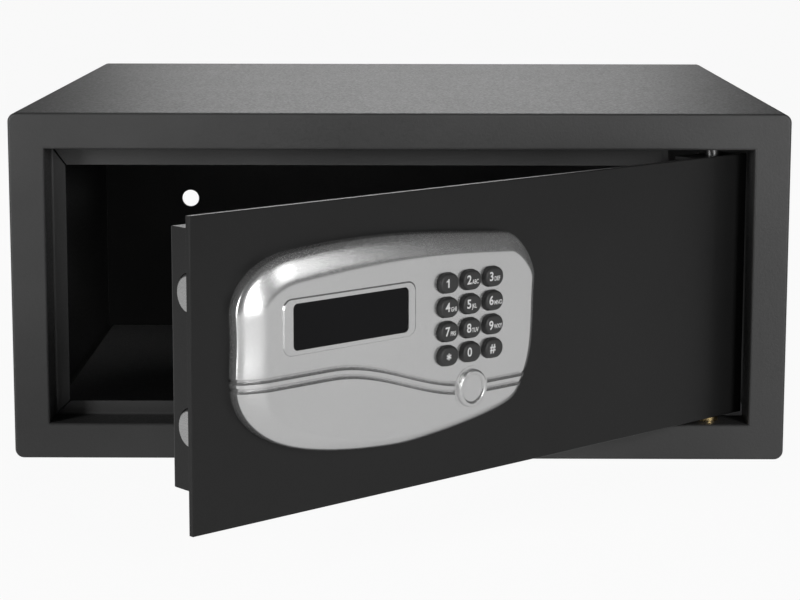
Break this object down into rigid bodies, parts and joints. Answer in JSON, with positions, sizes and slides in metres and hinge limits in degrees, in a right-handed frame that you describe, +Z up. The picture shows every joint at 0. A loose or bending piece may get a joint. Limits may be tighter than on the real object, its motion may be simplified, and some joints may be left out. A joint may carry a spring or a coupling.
{
  "type": "laptop safe",
  "caption": "Low wide steel cabinet with a hinged front door, an electronic keypad bezel, two round locking bolts and a motor-driven boltwork",
  "frame": {"origin": "centre of the cabinet's footprint on its base, midway between the front face and the rear face", "axes": "+Z up, +X to the right seen from the front, -Y out of the front; the door is at rest 42 degrees open"},
  "size_m": [0.43, 0.6174, 0.194],
  "materials": {
    "cabinet_paint": "fine-textured dark grey powder coat",
    "door_paint": "fine-textured near-black powder coat",
    "carpet": "dark needle-felt carpet",
    "bush_plastic": "black acetal",
    "steel": "zinc-plated steel",
    "bolt_steel": "turned and ground steel",
    "brass": "turned brass",
    "gear_plastic": "off-white acetal",
    "black_plastic": "black ABS with a fine grain",
    "battery": "plain sleeve",
    "board": "green solder mask",
    "silver_plastic": "satin silver coat on ABS",
    "lens": "dark tinted acrylic",
    "display": "display module",
    "mat_rubber": "silicone",
    "key_plastic": "charcoal with white printed legends",
    "cable": "flat grey cable",
    "button_red": "red"
  },
  "bodies": {
    "cabinet": {"body_shell": "cabinet_paint", "front_frame": "cabinet_paint", "back_panel": "cabinet_paint", "floor_mat": "carpet", "hinge_bush_top": "bush_plastic", "hinge_bush_bottom": "bush_plastic", "thrust_washer": "brass"},
    "door": {"door_plate": "door_paint", "hinge_bracket_top": "door_paint", "hinge_bracket_bottom": "door_paint", "hinge_pin_top": "steel", "hinge_pin_bottom": "steel", "lock_housing": "door_paint", "weld_studs": "steel", "housing_nuts": "steel", "bolt_guide_upper": "bush_plastic", "bolt_guide_lower": "bush_plastic", "mechanism_plate": "steel", "gearbox": "gear_plastic", "gearbox_screws": "steel", "motor": "steel", "guide_pins": "steel", "battery_holder": "black_plastic", "batteries": "battery", "control_board": "board", "board_standoffs": "black_plastic", "lock_cylinder": "bolt_steel", "lock_nut": "brass", "keypad_bezel": "silver_plastic", "display_lens": "lens", "display_module": "display", "keypad_board": "board", "key_mat": "mat_rubber", "bezel_screws": "steel", "ribbon_cable": "cable", "cable_grommet": "mat_rubber", "reset_switch": "black_plastic"},
    "boltwork": {"bolt_carriage": "steel", "upper_bolt": "bolt_steel", "lower_bolt": "bolt_steel", "bolt_screws": "steel"},
    "pinion": {"drive_pinion": "gear_plastic", "gear_shaft": "steel"},
    "override": {"lock_plug": "brass", "lock_cam": "steel"},
    "keyhole_cover": {"lock_cover": "silver_plastic"},
    "battery_lid": {"battery_cover": "black_plastic"},
    "reset": {"reset_button": "button_red"},
    "button_1": {"key_1": "key_plastic"},
    "button_2": {"key_2": "key_plastic"},
    "button_3": {"key_3": "key_plastic"},
    "button_4": {"key_4": "key_plastic"},
    "button_5": {"key_5": "key_plastic"},
    "button_6": {"key_6": "key_plastic"},
    "button_7": {"key_7": "key_plastic"},
    "button_8": {"key_8": "key_plastic"},
    "button_9": {"key_9": "key_plastic"},
    "button_star": {"key_star": "key_plastic"},
    "button_0": {"key_0": "key_plastic"},
    "button_hash": {"key_hash": "key_plastic"}
  },
  "joints": [
    {"name": "door_hinge", "type": "hinge", "parent": "cabinet", "child": "door", "pos_m": [0.1735, -0.176, 0.097], "axis": [0, 0, 1], "range_deg": [-42, 68]},
    {"name": "bolt_slide", "type": "slide", "parent": "door", "child": "boltwork", "axis": [-0.7431, -0.6691, 0], "range_m": [0, 0.022]},
    {"name": "pinion_turn", "type": "hinge", "parent": "door", "child": "pinion", "pos_m": [-0.02907, -0.32987, 0.10315], "axis": [-0.6691, 0.7431, 0], "range_deg": [0, 181]},
    {"name": "override_key_turn", "type": "hinge", "parent": "door", "child": "override", "pos_m": [0.029, -0.31889, 0.0711], "axis": [-0.6691, 0.7431, 0], "range_deg": [0, 90]},
    {"name": "keyhole_cover_pull", "type": "slide", "parent": "door", "child": "keyhole_cover", "axis": [0.6691, -0.7431, 0], "range_m": [0, 0.008]},
    {"name": "battery_lid_pull", "type": "slide", "parent": "door", "child": "battery_lid", "axis": [-0.6691, 0.7431, 0], "range_m": [0, 0.012]},
    {"name": "reset_press", "type": "slide", "parent": "door", "child": "reset", "axis": [0.6691, -0.7431, 0], "range_m": [0, 0.0015], "stiffness_N_per_m": 400},
    {"name": "key_1_press", "type": "slide", "parent": "door", "child": "button_1", "axis": [-0.6691, 0.7431, 0], "range_m": [0, 0.0015], "stiffness_N_per_m": 500},
    {"name": "key_2_press", "type": "slide", "parent": "door", "child": "button_2", "axis": [-0.6691, 0.7431, 0], "range_m": [0, 0.0015], "stiffness_N_per_m": 500},
    {"name": "key_3_press", "type": "slide", "parent": "door", "child": "button_3", "axis": [-0.6691, 0.7431, 0], "range_m": [0, 0.0015], "stiffness_N_per_m": 500},
    {"name": "key_4_press", "type": "slide", "parent": "door", "child": "button_4", "axis": [-0.6691, 0.7431, 0], "range_m": [0, 0.0015], "stiffness_N_per_m": 500},
    {"name": "key_5_press", "type": "slide", "parent": "door", "child": "button_5", "axis": [-0.6691, 0.7431, 0], "range_m": [0, 0.0015], "stiffness_N_per_m": 500},
    {"name": "key_6_press", "type": "slide", "parent": "door", "child": "button_6", "axis": [-0.6691, 0.7431, 0], "range_m": [0, 0.0015], "stiffness_N_per_m": 500},
    {"name": "key_7_press", "type": "slide", "parent": "door", "child": "button_7", "axis": [-0.6691, 0.7431, 0], "range_m": [0, 0.0015], "stiffness_N_per_m": 500},
    {"name": "key_8_press", "type": "slide", "parent": "door", "child": "button_8", "axis": [-0.6691, 0.7431, 0], "range_m": [0, 0.0015], "stiffness_N_per_m": 500},
    {"name": "key_9_press", "type": "slide", "parent": "door", "child": "button_9", "axis": [-0.6691, 0.7431, 0], "range_m": [0, 0.0015], "stiffness_N_per_m": 500},
    {"name": "key_star_press", "type": "slide", "parent": "door", "child": "button_star", "axis": [-0.6691, 0.7431, 0], "range_m": [0, 0.0015], "stiffness_N_per_m": 500},
    {"name": "key_0_press", "type": "slide", "parent": "door", "child": "button_0", "axis": [-0.6691, 0.7431, 0], "range_m": [0, 0.0015], "stiffness_N_per_m": 500},
    {"name": "key_hash_press", "type": "slide", "parent": "door", "child": "button_hash", "axis": [-0.6691, 0.7431, 0], "range_m": [0, 0.0015], "stiffness_N_per_m": 500}
  ],
  "couplings": [
    {"joint": "pinion_turn", "follows": "bolt_slide", "rad_per_m": 142.86}
  ]
}
